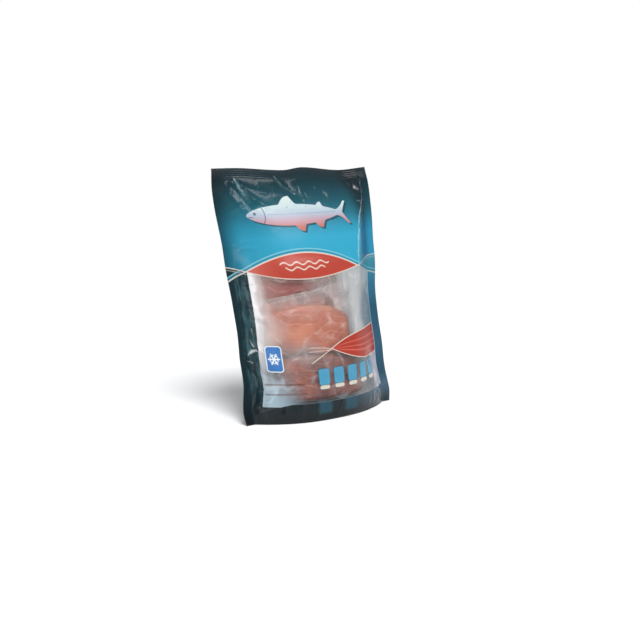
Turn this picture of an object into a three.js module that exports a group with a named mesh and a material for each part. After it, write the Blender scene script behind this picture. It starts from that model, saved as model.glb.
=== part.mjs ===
// Stand-up pouch of frozen salmon portions, sealed all round, standing on its bottom gusset and leaning back.
// Millimetres, +Z up. The front panel faces -Y, and the origin is the middle of the base on the floor.
// A point of the film is named by u, its flat distance across from the middle line, and z, its height.
import * as THREE from 'three';
import { ParametricGeometry } from 'three/addons/geometries/ParametricGeometry.js';
import { mergeGeometries, mergeVertices } from 'three/addons/utils/BufferGeometryUtils.js';

// Driving dimensions
const FILM_WIDTH = 182;
const POUCH_HEIGHT = 235;
const SIDE_SEAL = 9;
const SEAL_THICKNESS = 1.2;
const LEAN_DEG = 12.5;

// Profiles up the pouch, as pairs of height and value
const HALF_WIDTH = [
  [0, 82.6], [12, 84.3], [40, 80.6], [65, 82], [95, 81.3],
  [140, 84.3], [180, 87.6], [210, 89.6], [POUCH_HEIGHT, 87.6],
];
const FRONT_BULGE = [
  [0, 24], [12, 28], [40, 31], [65, 31], [95, 29.5],
  [140, 26], [180, 18], [210, 8], [225, 1], [POUCH_HEIGHT, 0],
];
const BACK_BULGE = [
  [0, 36], [12, 35], [40, 30], [65, 25], [95, 21],
  [140, 16], [180, 11], [210, 6], [225, 1], [POUCH_HEIGHT, 0],
];
// Place of the long ridge on the right of the front panel, as a share of the half width
const RIDGE_PLACE = [[0, 0.45], [80, 0.5], [149, 0.67], [224, 0.96]];

// Profiles across the pouch, as pairs of u and millimetres
const TOP_EDGE_DROP = [[-91, 0], [-61, 0.2], [-14, 3], [12, 0.9], [60, 4.8], [91, 2.3]];
const TOP_EDGE_CURL = [[-91, 0], [-61, 0], [-14, -3], [12, 0], [60, 5], [91, 2]];
const BASE_LIFT = [[-91, 0], [-5, 0], [35, 1.8], [65, 1.8], [84, 0], [91, 0]];

// Heights between which each of those grows or dies out, and between which the relief does
const DROP_SPAN = [190, POUCH_HEIGHT];
const CURL_SPAN = [205, POUCH_HEIGHT];
const LIFT_SPAN = [0, 25];
const FOOT_FADE = [0, 8];
const TOP_FADE = [224, 232];

// Section shape: how round the plain sides are, and how sharp the ridge is low down and high up
const SIDE_ROUNDNESS = 2.4;
const RIGHT_FOOT_ROUNDNESS = 2.6;
const BACK_ROUNDNESS = 2.6;
const FACE_DOME = 0.1;
const RIDGE_SOFT_LOW = 0.3;
const RIDGE_SOFT_HIGH = 0.04;
const RIDGE_SHARPENS = [60, 190];
const RIDGE_STARTS = [10, 90];

// Creases in the film: a line from one film point to another, how far its flanks reach and how high it stands
const FRONT_CREASES = [
  { from: [-68, 228], to: [-51, 205], reach: 8, rise: 1.8 },
  { from: [-26, 230], to: [-7, 211], reach: 9, rise: -2.2 },
  { from: [12, 223], to: [31, 212], reach: 7, rise: 1.0 },
  { from: [42, 227], to: [57, 213], reach: 8, rise: 1.4 },
  { from: [58, 229], to: [66, 214], reach: 7, rise: -1.6 },
  { from: [-90, 53], to: [-60, 43], reach: 11, rise: -2.6 },
  { from: [-81, 74], to: [-68, 67], reach: 7, rise: 1.4 },
  { from: [-80, 132], to: [-76, 88], reach: 7, rise: 1.2 },
  { from: [58, 47], to: [88, 38], reach: 11, rise: -2.4 },
  { from: [-32, 26], to: [-37, 4], reach: 7, rise: 1.2 },
];
const BACK_CREASES = [
  { from: [-88, 50], to: [-50, 40], reach: 12, rise: -2.6 },
  { from: [88, 50], to: [46, 38], reach: 12, rise: -2.4 },
  { from: [-58, 226], to: [-30, 180], reach: 12, rise: 1.8 },
  { from: [62, 224], to: [34, 172], reach: 12, rise: 1.6 },
  { from: [6, 226], to: [-4, 196], reach: 10, rise: -1.8 },
];

// Swells where the portions inside press on the film: middle, half size and rise
const FRONT_SWELLS = [
  { at: [-14, 90], half: [50, 25], rise: 2.2 },
  { at: [-8, 44], half: [54, 20], rise: 1.8 },
  { at: [-24, 133], half: [46, 17], rise: 1.6 },
];
const BACK_SWELLS = [
  { at: [0, 112], half: [52, 28], rise: 2.4 },
  { at: [8, 52], half: [54, 26], rise: 2.2 },
];

// Fineness of the faceted film
const COLUMNS = 40;
const ROWS = 52;
const EDGE_STEPS = 2;
const SECTION_STEPS = 40;

// A panel's stops on the way round: its columns and the middle of the cut edge after them
const PANEL_STOPS = COLUMNS + EDGE_STEPS;
const PANEL_HALF = FILM_WIDTH / 2 - SIDE_SEAL;
const LEAN_SLOPE = Math.tan(THREE.MathUtils.degToRad(LEAN_DEG));
const { clamp, lerp, smoothstep } = THREE.MathUtils;

// Value of a profile at a place, by a smooth curve through its points
function along(profile, place) {
  const last = profile.length - 1;
  const x = clamp(place, profile[0][0], profile[last][0]);
  let i = 0;
  while (i < last - 1 && x > profile[i + 1][0]) i += 1;
  const slopeAt = (k) => {
    const before = profile[Math.max(k - 1, 0)];
    const after = profile[Math.min(k + 1, last)];
    return (after[1] - before[1]) / (after[0] - before[0]);
  };
  const step = profile[i + 1][0] - profile[i][0];
  const t = (x - profile[i][0]) / step;
  const start = (1 + 2 * t) * (1 - t) ** 2 * profile[i][1] + t * (1 - t) ** 2 * step * slopeAt(i);
  const end = t * t * (3 - 2 * t) * profile[i + 1][1] + t * t * (t - 1) * step * slopeAt(i + 1);
  return start + end;
}

// The smaller of two values, with a round transition
function softMin(a, b, softness) {
  const mix = clamp(0.5 + (0.5 * (b - a)) / softness, 0, 1);
  return lerp(b, a, mix) - softness * mix * (1 - mix);
}

// Share of the full bulge at a share t of the half width, for each kind of side
function plainSide(roundness) {
  return (t) => 1 - t ** roundness;
}

function ridgedSide(z) {
  const ridge = along(RIDGE_PLACE, z);
  const softness = lerp(RIDGE_SOFT_LOW, RIDGE_SOFT_HIGH, smoothstep(z, ...RIDGE_SHARPENS));
  const share = smoothstep(z, ...RIDGE_STARTS);
  const foot = plainSide(RIGHT_FOOT_ROUNDNESS);
  return (t) => {
    const face = 1 - FACE_DOME * t * t;
    const flank = ((1 - t) / (1 - ridge)) * (1 - FACE_DOME * ridge * ridge);
    return lerp(foot(t), Math.max(softMin(face, flank, softness), 0), share);
  };
}

// Lays the flat film along half a section, so that equal steps of film are equal steps of its length
function layFilm(u, halfWidth, bulge, side) {
  const width = halfWidth - SIDE_SEAL;
  const points = [];
  let length = 0;
  for (let i = 0; i <= SECTION_STEPS; i += 1) {
    const t = i / SECTION_STEPS;
    const point = { x: t * width, depth: bulge * side(t) };
    const before = points[i - 1];
    if (before) length += Math.hypot(point.x - before.x, point.depth - before.depth);
    points.push({ ...point, length });
  }
  const across = Math.abs(u);
  const reach = Math.min(across / PANEL_HALF, 1) * length;
  let i = 0;
  while (i < SECTION_STEPS - 1 && points[i + 1].length < reach) i += 1;
  const share = (reach - points[i].length) / (points[i + 1].length - points[i].length);
  const seal = Math.max(across - PANEL_HALF, 0);
  return {
    x: Math.sign(u) * (lerp(points[i].x, points[i + 1].x, share) + seal),
    depth: lerp(points[i].depth, points[i + 1].depth, share),
  };
}

function creaseHeight({ from, to, reach, rise }, u, z) {
  const run = [to[0] - from[0], to[1] - from[1]];
  const length = Math.hypot(...run);
  const forward = ((u - from[0]) * run[0] + (z - from[1]) * run[1]) / length;
  const sideways = ((u - from[0]) * run[1] - (z - from[1]) * run[0]) / length;
  const beyond = Math.max(-forward, forward - length, 0);
  const away = Math.hypot(sideways, beyond) / reach;
  return away < 1 ? rise * (1 - away) ** 2 : 0;
}

function swellHeight({ at, half, rise }, u, z) {
  const away = ((u - at[0]) / half[0]) ** 4 + ((z - at[1]) / half[1]) ** 4;
  return rise * Math.exp(-away);
}

// Relief of a panel, fading out over the side seals, the foot and the top seal
function relief(creases, swells, u, z) {
  let height = 0;
  for (const crease of creases) height += creaseHeight(crease, u, z);
  for (const swell of swells) height += swellHeight(swell, u, z);
  const sideFade = clamp((FILM_WIDTH / 2 - Math.abs(u)) / SIDE_SEAL, 0, 1);
  return height * sideFade * smoothstep(z, ...FOOT_FADE) * (1 - smoothstep(z, ...TOP_FADE));
}

// Real height of a film point, since the top edge waves and the front's foot lifts a little on the right
function placeHeight(u, z, lifts) {
  const drop = along(TOP_EDGE_DROP, u) * smoothstep(z, ...DROP_SPAN);
  const lift = lifts ? along(BASE_LIFT, u) * (1 - smoothstep(z, ...LIFT_SPAN)) : 0;
  return z - drop + lift;
}

// Depth of the plane in which the two films are sealed, leaning back and curling along the top edge
function seamDepth(u, z) {
  return LEAN_SLOPE * z + along(TOP_EDGE_CURL, u) * smoothstep(z, ...CURL_SPAN);
}

function frontPoint(u, z) {
  const side = u < 0 ? plainSide(SIDE_ROUNDNESS) : ridgedSide(z);
  const film = layFilm(u, along(HALF_WIDTH, z), along(FRONT_BULGE, z), side);
  const outward = film.depth + relief(FRONT_CREASES, FRONT_SWELLS, u, z) + SEAL_THICKNESS / 2;
  return new THREE.Vector3(film.x, seamDepth(u, z) - outward, placeHeight(u, z, true));
}

function backPoint(u, z) {
  const film = layFilm(u, along(HALF_WIDTH, z), along(BACK_BULGE, z), plainSide(BACK_ROUNDNESS));
  const outward = film.depth + relief(BACK_CREASES, BACK_SWELLS, u, z) + SEAL_THICKNESS / 2;
  return new THREE.Vector3(film.x, seamDepth(u, z) + outward, placeHeight(u, z, false));
}

// Middle of the seal's cut edge, between the front and rear films
function edgePoint(u, z) {
  return frontPoint(u, z).lerp(backPoint(u, z), 0.5);
}

// The walls run once round the pouch: along the front from left to right, then back along the rear
function wallPoint(round, up, target) {
  const stop = Math.round(round * 2 * PANEL_STOPS) % (2 * PANEL_STOPS);
  const onFront = stop < PANEL_STOPS;
  const place = stop % PANEL_STOPS;
  const across = Math.min(place, COLUMNS) / COLUMNS - 0.5;
  const u = FILM_WIDTH * (onFront ? across : -across);
  const panelPoint = onFront ? frontPoint : backPoint;
  const point = place > COLUMNS ? edgePoint : panelPoint;
  target.copy(point(u, POUCH_HEIGHT * up));
}

// The base is flat from the rear foot line to its middle, and from there follows the front film's lift
function basePoint(across, forward, target) {
  const u = FILM_WIDTH * (across - 0.5);
  const front = frontPoint(u, 0);
  target.lerpVectors(backPoint(u, 0), front, forward);
  target.z = forward < 1 ? 0 : front.z;
}

function topPoint(across, backward, target) {
  const u = FILM_WIDTH * (across - 0.5);
  target.lerpVectors(frontPoint(u, POUCH_HEIGHT), backPoint(u, POUCH_HEIGHT), backward);
}

function pouchGeometry() {
  const walls = new ParametricGeometry(wallPoint, 2 * PANEL_STOPS, ROWS);
  const base = new ParametricGeometry(basePoint, COLUMNS, EDGE_STEPS);
  const top = new ParametricGeometry(topPoint, COLUMNS, EDGE_STEPS);
  const shells = mergeGeometries([walls, base, top]);
  shells.deleteAttribute('normal');
  shells.deleteAttribute('uv');
  const geometry = mergeVertices(shells, 1e-3);
  geometry.computeBoundingBox();
  const middle = geometry.boundingBox.getCenter(new THREE.Vector3());
  geometry.translate(-middle.x, -middle.y, -geometry.boundingBox.min.z);
  geometry.computeVertexNormals();
  return geometry;
}

const printedFilm = new THREE.MeshStandardMaterial({ color: 0x2a6478, roughness: 0.3, metalness: 0 });
const pouch = new THREE.Mesh(pouchGeometry(), printedFilm);
pouch.name = 'pouch';

const pack = new THREE.Group();
pack.add(pouch);

export default pack;
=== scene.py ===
import math
from dataclasses import dataclass
from functools import reduce

import bmesh
import bpy
import numpy as np
from mathutils import Matrix, Vector, noise


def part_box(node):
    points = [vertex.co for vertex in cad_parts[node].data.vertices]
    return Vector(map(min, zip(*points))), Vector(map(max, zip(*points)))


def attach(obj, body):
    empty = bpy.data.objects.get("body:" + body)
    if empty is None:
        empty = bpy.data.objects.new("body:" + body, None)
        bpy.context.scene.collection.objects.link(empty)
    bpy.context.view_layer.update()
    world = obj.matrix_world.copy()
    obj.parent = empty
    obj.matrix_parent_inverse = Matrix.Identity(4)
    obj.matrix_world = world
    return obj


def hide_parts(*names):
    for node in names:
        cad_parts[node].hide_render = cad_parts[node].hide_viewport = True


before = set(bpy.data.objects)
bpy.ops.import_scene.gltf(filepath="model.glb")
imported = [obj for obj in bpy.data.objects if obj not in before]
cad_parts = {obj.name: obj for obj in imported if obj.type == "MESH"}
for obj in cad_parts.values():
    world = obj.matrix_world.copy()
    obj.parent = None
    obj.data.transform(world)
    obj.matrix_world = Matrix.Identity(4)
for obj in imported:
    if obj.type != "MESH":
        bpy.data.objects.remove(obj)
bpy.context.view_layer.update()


@dataclass
class Margin:
    """A sachet's flat margin: its turn, how far it reaches past the fish, and the height it is cut at."""
    turn_deg: float
    top: float
    foot: float
    side: float
    lowest: float


@dataclass
class Portion:
    """A portion of fish in film millimetres. The gap is its depth behind the front film."""
    name: str
    middle: tuple
    half: tuple
    turn_deg: float
    gap: float
    thickness: float
    arch: float
    lumps: float
    seed: int
    margin: Margin
    flesh: tuple


def patch(left, right, foot, top, soft):
    """Spans of a soft-edged patch that drifts with the frost."""
    return [
        ("u_adrift", left - soft, left + soft, 0, 1),
        ("u_adrift", right - soft, right + soft, 1, 0),
        ("z_adrift", foot - soft, foot + soft, 0, 1),
        ("z_adrift", top - soft, top + soft, 1, 0),
    ]


MM = 0.001
BODY = "root"
FULL_TURN = 2 * math.pi

# Sizes of the film
FILM_WIDTH = 182.0
POUCH_HEIGHT = 235.0
SIDE_SEAL = 9.0
TOP_SEAL = 9.5
FILM_THICKNESS = 0.25
SEAM_HALF_GAP = 0.3
FOOT_LIFT = 0.2
LEAN_DEG = 12.5
EDGE = FILM_WIDTH / 2
PANEL_HALF = EDGE - SIDE_SEAL
TOP_SEAL_START = POUCH_HEIGHT - TOP_SEAL
LEAN_SLOPE = math.tan(math.radians(LEAN_DEG))

# Profiles up the pouch, as pairs of height and value
HALF_WIDTH = [(0, 82.6), (12, 84.3), (40, 80.6), (65, 82), (95, 81.3), (140, 84.3), (180, 87.6), (210, 89.6),
              (POUCH_HEIGHT, 87.6)]
FRONT_BULGE = [(0, 24), (12, 28), (40, 31), (65, 31), (95, 29.5), (140, 26), (180, 18), (210, 8), (225, 1),
               (POUCH_HEIGHT, 0)]
BACK_BULGE = [(0, 36), (12, 35), (40, 30), (65, 25), (95, 21), (140, 16), (180, 11), (210, 6), (225, 1),
              (POUCH_HEIGHT, 0)]
RIDGE_PLACE = [(0, 0.45), (80, 0.5), (149, 0.67), (224, 0.96)]

# Profiles across the pouch, as pairs of u and millimetres
TOP_EDGE_DROP = [(-91, 0), (-61, 0.2), (-14, 3), (12, 0.9), (60, 4.8), (91, 2.3)]
TOP_EDGE_CURL = [(-91, 0), (-61, 0), (-14, -3), (12, 0), (60, 5), (91, 2)]
BASE_LIFT = [(-91, 0), (-5, 0), (35, 1.8), (65, 1.8), (84, 0), (91, 0)]

# Where each of those grows or dies out, and where the relief does at the foot, the top and the sides
DROP_SPAN = (190, POUCH_HEIGHT)
CURL_SPAN = (205, POUCH_HEIGHT)
LIFT_SPAN = (0, 25)
FOOT_FADE = (0, 8)
TOP_FADE = (216, 228)
SIDE_FADE = (74, 84)

# Waves of the side seals: rise, two lengths, starts at the left and right, and where they show
SWAY = 1.0
SWAY_LENGTHS = (17, 7.3)
SWAY_STARTS = (0.4, 2.3)
SWAY_REACH = (70, 90)
SWAY_FOOT = (4, 30)
SWAY_TOP = (212, 232)

# Section shape
SIDE_ROUNDNESS = 2.4
RIGHT_FOOT_ROUNDNESS = 2.6
BACK_ROUNDNESS = 2.6
FACE_DOME = 0.1
RIDGE_SOFT_LOW = 0.3
RIDGE_SOFT_HIGH = 0.04
RIDGE_SHARPENS = (60, 190)
RIDGE_STARTS = (10, 90)

# Large creases: from, to, reach of the flanks, rise
FRONT_CREASES = [
    ((-68, 228), (-51, 205), 8, 1.8),
    ((-26, 230), (-7, 211), 9, -2.2),
    ((12, 223), (31, 212), 7, 1.0),
    ((42, 227), (57, 213), 8, 1.4),
    ((58, 229), (66, 214), 7, -1.6),
    ((-90, 53), (-60, 43), 11, -2.6),
    ((-81, 74), (-68, 67), 7, 1.4),
    ((-80, 132), (-76, 88), 7, 1.2),
    ((58, 47), (88, 38), 11, -2.4),
    ((-32, 26), (-37, 4), 7, 1.2),
]
BACK_CREASES = [
    ((-88, 50), (-50, 40), 12, -2.6),
    ((88, 50), (46, 38), 12, -2.4),
    ((-58, 226), (-30, 180), 12, 1.8),
    ((62, 224), (34, 172), 12, 1.6),
    ((6, 226), (-4, 196), 10, -1.8),
]

# Swells where the portions press on the film: middle, half size, rise
FRONT_SWELLS = [((-14, 90), (50, 25), 2.2), ((-8, 44), (54, 20), 1.8), ((-24, 133), (46, 17), 1.6)]
BACK_SWELLS = [((0, 112), (52, 28), 2.4), ((8, 52), (54, 26), 2.2)]

# Fine puckers that start at the seals: how many, and over what length of the seal
PUCKER_SEED = 11
TOP_PUCKERS = 26
TOP_PUCKER_SPAN = (-80, 80)
SIDE_PUCKERS = 34
SIDE_PUCKER_SPAN = (12, 215)
FOOT_PUCKERS = 14
FOOT_PUCKER_SPAN = (-75, 75)
FOOT_PUCKER_START = 2
# Fans of puckers out of the corners, with their headings
FAN_CORNERS = [((-79, 226), -52), ((79, 226), -128), ((-77, 10), 46), ((77, 10), 134)]
FAN_PUCKERS = 8
FAN_SCATTER = (6, 8)
# Lengths, spread of the heading in degrees, reaches of the flanks and greatest rise of a pucker
SEAL_PUCKER = ((7, 24), 28, (2.2, 4.8), 0.7)
FAN_PUCKER = ((14, 44), 38, (2.6, 5.5), 1.0)
PUCKER_LEAST = 0.3
CRUMPLE_CELL = 26.0
CRUMPLE_STRETCH = 0.8
CRUMPLE_SLICE = 0.37
CRUMPLE_RISE = 0.45
CRUMPLE_MIDDLE_SHARE = 0.35
CRUMPLE_LEVEL = 0.4

# Fineness of the film grids, in columns and rows
FRONT_GRID = (164, 204)
BACK_GRID = (120, 156)
GUSSET_GRID = (120, 28)
ROUGH_GRID = (40, 52)
TABLE_GRID = (91, 94)
SECTION_STEPS = 160

# Gusset: height of its dome, how far it stays inside the films and short of the sides, and its lift
GUSSET_DOME = 7.0
GUSSET_INSET = 1.2
GUSSET_SHORT = 2.5
GUSSET_LIFT = 0.9

# Banner of the print: two curves that cross at its tips and run on, and the lines along them
LENS_MIDDLE = (-13.75, 140.3)
LENS_HALF = 58.5
LENS_RISE = 16.0
LENS_DROP = 8.0
LEFT_RUN_ON = 1.7
RIGHT_RUN_ON = 1.0
RUN_ON_BLEND = 5.0
LINE_WIDTH = 1.3
LOWER_LINE_WIDTH = 1.04
FINE_LINE_WIDTH = 0.6
SECOND_WIDTH = 1.0
SECOND_ABOVE = 3.4
SECOND_BELOW = 2.4
LINE_STRENGTH = 0.85
FINE_LINE_STRENGTH = 0.6
SECOND_STRENGTH = 0.75
GAP_STRENGTH = 0.6
FLANK_FADE = (46, 58, 1.0, 0.55)
WAVE_ROWS = 2
WAVE_LENGTH = 13.0
WAVE_RISE = 1.3
WAVE_HEIGHT = 146.8
WAVE_GAP = 4.6
WAVE_REACH = 26.0
WAVE_STEP_IN = 5.0

# Clear window
WINDOW_LEFT = -71.5
WINDOW_RIGHT = 80.0
WINDOW_FOOT = 18.5
WINDOW_DROOP = 2.0
DROOP_SPAN = (-56, -42)
WINDOW_LINE_WIDTH = 2.4
WINDOW_LINE_STRENGTH = 0.6

# Fish, along it from the nose and above its middle line
FISH_NOSE = (-62.0, 191.0)
FISH_LENGTH = 96.0
FISH_DEPTH = 24.0
FISH_STEM = 2.4
FRONT_FULLNESS = 0.62
REAR_FULLNESS = 0.85
TAIL_HALF = 11.0
TAIL_OVERLAP = 1.0
TAIL_FLARE = (0.15, 0.045)
TAIL_FORK = (8.0, 0.5, 0.012)
TAIL_ROUNDING = 2.0
TAIL_FILLET = 1.5
FIN_ROOT = 3.0
FIN_ROUNDING = 3.0
FIN_FILLET = 2.0
# Fins above (1) and below (-1): where the front starts, the tip, and where the back ends
FINS = [
    (1, (33, 7), (48, 18.5), (58, 7.5)),
    (1, (74, 5), (81, 11), (85, 4.5)),
    (-1, (46, 7), (57, 16), (63, 7)),
    (-1, (68, 5), (78, 13.5), (85, 4.5)),
]
FISH_SHADOW = (1.6, -1.8)
GILL_START = 6.0
GILL_RADIUS = 12.5
GILL_REACH = 7.0
EYE = (8.5, 1.6)
EYE_RADIUS = 1.4
MOUTH_DROP = 1.6
MOUTH_LENGTH = 6.5
SIDE_LINE_START = 22.0
SIDE_LINE_RISE = 0.6
SPOTS_FROM = (20.0, 3.2)
SPOT_SIZE = (0.14, 0.22)
SPOT_SCALE = 0.24

# Badge with an ice crystal, and the crystal's twigs as shares of its radius and width
BADGE_MIDDLE = (-57.8, 60.5)
BADGE_HALF = (6.9, 11.3)
BADGE_CORNER = 2.6
BADGE_RIM = 1.0
BADGE_CRYSTAL = (5.6, 1.1)
TWIG_PLACE = 0.52
TWIG_REACH = 0.3
TWIG_HALF_WIDTH = 0.42

# Blank tabs and pills, and rules
TAB_START = -11.6
TAB_PITCH = 16.6
TAB_COUNT = 5
TAB_HALF = (5.6, 7.2)
TAB_HEIGHT = 42.2
TAB_CORNER = 1.8
TAB_RIM = 0.7
PILL_HALF = (5.4, 1.9)
PILL_HEIGHT = 32.5
PILL_CORNER = 2.0
TAB_COVER = 0.88
RULES = [((-70, 37.0), 38.0), ((-70, 28.0), 40.0)]
RULE_HALF = 0.8
RULE_CORNER = 0.5
RULE_COVER = 0.55

# Ribbon at the window's right, with its two edges and the tails of its lines
RIBBON_TIP = (0.5, 67.0)
RIBBON_RISE = 12.3
RIBBON_RISE_RUN = 42.0
RIBBON_DROP = 15.2
RIBBON_DROP_RUN = 60.0
RIBBON_TAIL = 27.0
TAIL_SLOPE = 0.5
UPPER_TAIL = (-0.2, -0.004)
LOWER_TAIL_DROP = 1.2
RIBBON_LINE_WIDTHS = (1.0, 0.8, 0.7, 0.6)
# Light streaks in the ribbon: share of its height, half width
RIBBON_STREAKS = [(0.28, 0.035), (0.46, 0.025), (0.68, 0.03)]

# Back panel: a pale field with a blank ruled table and three plain signs
FACTS_MIDDLE = (0.0, 76.0)
FACTS_HALF = (62.0, 44.0)
FACTS_CORNER = 6.0
FACTS_RIM = 1.4
FACTS_BELOW = 4.0
TABLE_MIDDLE = (-15.0, 70.0)
TABLE_HALF = (40.0, 30.0)
TABLE_CORNER = 2.0
TABLE_ROWS = 8
TABLE_COLUMN = 8.0
HEADER_MIDDLE = (-15.0, 109.0)
HEADER_HALF = (40.0, 4.5)
SIGN_PLACE = 43.0
SIGN_HEIGHTS = [98.0, 72.5, 47.0]
SIGN_HALF = (11.0, 11.0)
SIGN_CORNER = 3.0
SIGN_CRYSTAL = (7.5, 1.4)
PLATE_RINGS = [(7, 1.2), (4.2, 0.8)]
PAN_RADIUS = 4.6
PAN_HANDLE = ((6, 0.6), (3.6, 0.9), 0.8)
BACK_SHADE_SPAN = (60, 92, 0.0, 0.6)

# Colours
# Sky print, darker towards the top; it and the left shade turn a little lighter at the top seal as a painted
# highlight
SKY_STOPS = [(140, "#339ab9"), (170, "#359dbd"), (180, "#2e8ba6"), (190, "#266a7d"), (204, "#1e505b"),
             (212, "#1d4450"), (222, "#17343b"), (228, "#1f3238"), (235, "#2c363b")]
LEFT_SHADE_STOPS = [(140, "#11404f"), (180, "#123542"), (198, "#13252b"), (226, "#1b2125"), (235, "#31363a")]
RIGHT_SHADE_STOPS = [(140, "#215b82"), (172, "#1f5a80"), (186, "#17414f"), (196, "#14272f"), (235, "#1b2226")]
BORDER_STOPS = [(0, "#0b1114"), (14, "#0f1c21"), (40, "#12262c"), (140, "#172d33")]
# Right of the border: a painted reflection, bluer and lighter, with painted shade at its foot
RIGHT_BORDER_REFLECTION_STOPS = [(0, "#262c31"), (7, "#37454f"), (18, "#476071"), (30, "#2a4a5c"), (60, "#33566c"),
                      (95, "#2a5268"), (120, "#326c86"), (140, "#3f8296")]
FISH_STOPS = [(179, "#bd6f5f"), (186, "#b394a2"), (191, "#a4b1c2"), (198, "#bccdd0"), (206, "#cbd8d8")]
FISH_DARK = "#173a45"
LENS_RED = "#ae4337"
LENS_RED_LIGHT = "#c05c4f"
RIBBON_RED = "#a53c32"
RIBBON_LIGHT = "#cf6f5e"
CREAM = "#dccfc4"
LINE_CYAN = "#8cc6d0"
GAP_TEAL = "#2c7f95"
BADGE_BLUE = "#3872b2"
WHITE_PRINT = "#dfe3e4"
PILL_CREAM = "#cfccc0"
TAB_BLUE = "#4a98ba"
TAB_OUTLINE = "#376f86"
RULE_DARK = "#5b3c3a"
WINDOW_LINE = "#b4d3de"
BACK_SHADE = "#163a46"
FACTS_WHITE = "#d6dee2"
TABLE_GREY = "#8b9ca5"
HAZE_WHITE = "#e3e2e4"
MARGIN_HAZE = "#e0cfcb"
FROST_WHITE = "#e9dcd6"
FRONT_LINING = "#eceeee"
CLEAR_TINT = (0.97, 0.98, 0.985, 1.0)
LINING_TINT = (0.98, 0.985, 0.99, 1.0)

# Soft layers over the print, several of them painted light: a colour or its stops up the film, then its
# spans. A span names a place, where it starts and ends, and the strength at either end.
# Border: a painted reflection to the right, teal streaks of painted highlight along the left, and two blue
# patches at the foot
BORDER_LAYERS = [
    (RIGHT_BORDER_REFLECTION_STOPS, [("u", 0, 72, 0, 1)]),
    ("#3f6169", [("streak", 0.38, 0.66, 0, 0.75), ("u", -88, -82, 0, 1), ("u", -70, -60, 1, 0),
                 ("z", 22, 50, 0.1, 1)]),
    ("#1d4a5a", [("foot_patch", -2.5, 2.5, 0.8, 0), ("streak", 0.2, 0.5, 0.6, 1)]),
]
FOOT_PATCHES = [(-11, 14), (19, 13)]
FOOT_PATCH_HALF = (7.0, 6.5)
FOOT_PATCH_CORNER = 2.0
# Sky: painted shade at its upper left, along its left edge and on the right flank
SKY_LAYERS = [
    ("#1f6d86", [("u", -72, -20, 0.3, 0), ("z", 186, 200, 1, 0)]),
    (LEFT_SHADE_STOPS, [("u", -95, -66, 0.9, 0)]),
    (RIGHT_SHADE_STOPS, [("u", 50, 68, 0, 0.9), ("u", 80, 87, 1, 0.45)]),
]
LENS_GLOWS = [[("u", -72, -34, 0.9, 0)], [("lens_spot", 0, 14, 0.4, 0)]]
LENS_SPOT = (-20, 150)
LENS_SPOT_STRETCH = 4.0

# Veils over the window, in the order they are painted: colour, density and spans. Most are frost and
# slack film; some are painted reflections, and painted light on the shaded lining.
VEILS_AND_PAINTED_LIGHT = [
    ("#a9c1ce", 0, [("z", 20, 80, 1, 0)]),
    ("#e4cbc5", 0, [("u", -70, -56, 0, 1), ("z", 50, 78, 0, 1)]),
    # White strip at the left, fading to the right: painted reflection
    (None, 1, [("u", -71, -52, 1, 0), ("z", 20, 112, 0.45, 0.92), ("upright", 0.3, 0.62, 0.72, 1)]),
    (None, 1, [("u", -60, -34, 0.46, 0), ("z", 56, 76, 0.3, 1), ("z", 106, 116, 1, 0.35)]),
    (None, 1, [("corner", 14, 46, 0.62, 0)]),
    (None, 1, [("u", 22, 34, 0, 0.52), ("z", 66, 84, 0.2, 1)]),
    # Painted light on the shaded lining under the banner
    (None, 1, [("u", 4, 30, 0, 1), ("z", 108, 124, 0, 1), ("upright", 0.3, 0.62, 0.42, 0.62)]),
    (None, 0.28, patch(10, 40, 100, 122, 10)),
    ("#d69c92", 0.34, patch(-56, -8, 98, 113, 8)),
    ("#a09a99", 0.4, patch(-60, -16, 60, 74, 8)),
    ("#c8bcb9", 0.3, patch(-14, 20, 112, 140, 14)),
    ("#cccfd1", 0, [("u", 6, 30, 0, 1)]),
    # Blue-grey on the right flank: painted reflection
    ("#6f8592", 0, [("u_flank", 38, 56, 0, 1), ("z_flank", 94, 130, 1, 0.4)]),
    ("#c6bcc8", 1, [("u", 50, 70, 0, 1), ("z", 58, 70, 0.75, 0)]),
]
HAZE_CORNER = (-72, 14)
VEIL_DRIFT = 60.0
CLOUD_SPAN = (30, 64, 0.02, 0.12)
MOST_HAZE = 0.95

# Pale lines painted along creases, by colour: from, to, widths and strengths at the two ends. The cyan
# ones are painted highlights, and in part stress-whitened ink; the white ones are painted glints.
HIGHLIGHT_WANDER = 3.2
PAINTED_CREASE_HIGHLIGHTS = {
    "#a6ced6": [
        ((82, 222), (57, 182), (1.0, 1.3), (0.45, 0.6)),
        ((57, 182), (48, 149), (1.3, 1.3), (0.6, 0.7)),
        ((48, 149), (36, 80), (1.0, 0.8), (0.5, 0.3)),
        ((-68, 226), (-57, 205), (0.8, 4.0), (0.55, 0.05)),
        ((-59, 209), (-66, 224), (0.6, 1.6), (0.4, 0.1)),
        ((-24, 229), (-12, 214), (1.0, 4.0), (0.25, 0.0)),
    ],
    # Painted white glints on the crumpled crease at the left border
    "#e2e8e8": [
        ((-79.5, 79.0), (-76.6, 72.5), (0.4, 1.2), (0.1, 0.5)),
        ((-74.5, 68.8), (-78.0, 67.6), (1.6, 2.4), (0.9, 0.75)),
        ((-78.0, 67.6), (-81.5, 63.5), (2.4, 0.9), (0.75, 0.35)),
        ((-74.5, 68.8), (-72.0, 67.2), (1.6, 0.7), (0.9, 0.4)),
        ((-83.0, 58.0), (-78.5, 56.8), (0.6, 1.3), (0.15, 0.35)),
        ((-76.5, 88.0), (-74.8, 81.0), (0.9, 0.5), (0.3, 0.1)),
    ],
}

# Finish of the film: softness of print edges, ribs of the seals, and shine of clear film seen straight on
PRINT_EDGE = 0.3
PRINT_GLOSS = 0.28
RIB_PITCH = 1.9
RIB_EDGE = 0.5
CLEAR_ROUGHNESS = 0.09
CLEAR_SHINE = 0.04
GLANCE_POWER = 5.0

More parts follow.
